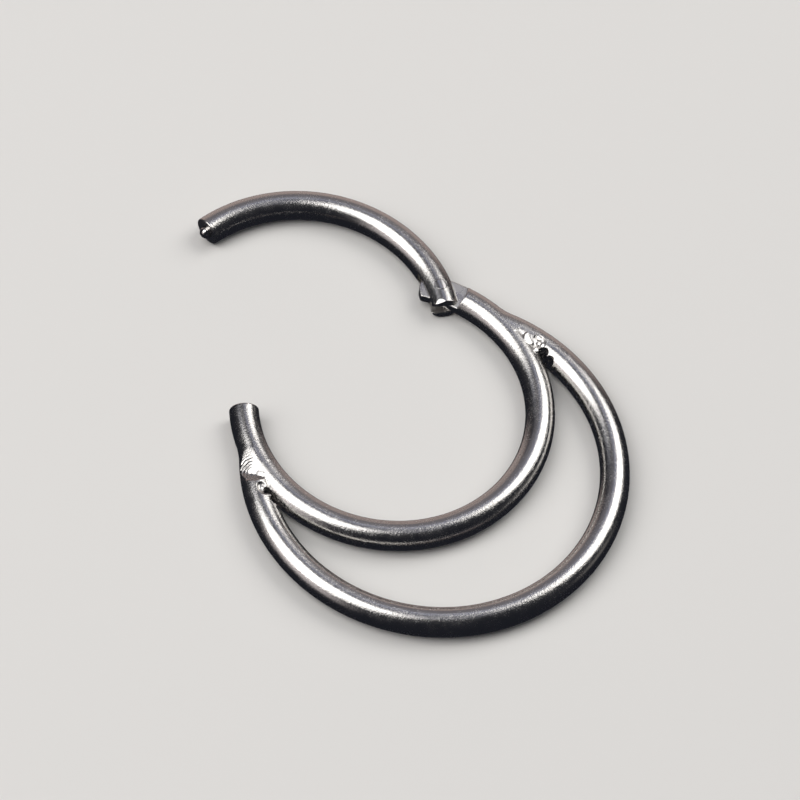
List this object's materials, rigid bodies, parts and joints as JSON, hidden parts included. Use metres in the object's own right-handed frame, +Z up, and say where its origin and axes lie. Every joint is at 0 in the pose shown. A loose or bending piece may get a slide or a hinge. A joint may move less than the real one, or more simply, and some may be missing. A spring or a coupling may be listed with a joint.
{
  "type": "clicker ring",
  "caption": "Hinged clicker ring of round steel wire, its gate swung open, with a larger crescent of the same wire welded along the outside of the hoop.",
  "frame": {"origin": "on the surface that the ring lies on, below the middle of its bounding box", "axes": "+Z up, along the hinge pin; +X towards the crescent's side of the ring, +Y towards the hinge side"},
  "size_m": [0.0188, 0.02, 0.0012],
  "materials": {
    "polished_steel": "polished",
    "pin_steel": "ground flush",
    "tip_steel": "bright polished"
  },
  "bodies": {
    "hoops": {"welded_hoops": "polished_steel"},
    "gate": {"gate": "polished_steel", "hinge_pin": "pin_steel", "latch_tip": "tip_steel"}
  },
  "joints": [
    {"name": "gate_hinge", "type": "hinge", "parent": "hoops", "child": "gate", "pos_m": [0.00089, 0.00603, 0.0006], "axis": [0, 0, 1], "range_deg": [-48, 52]}
  ]
}
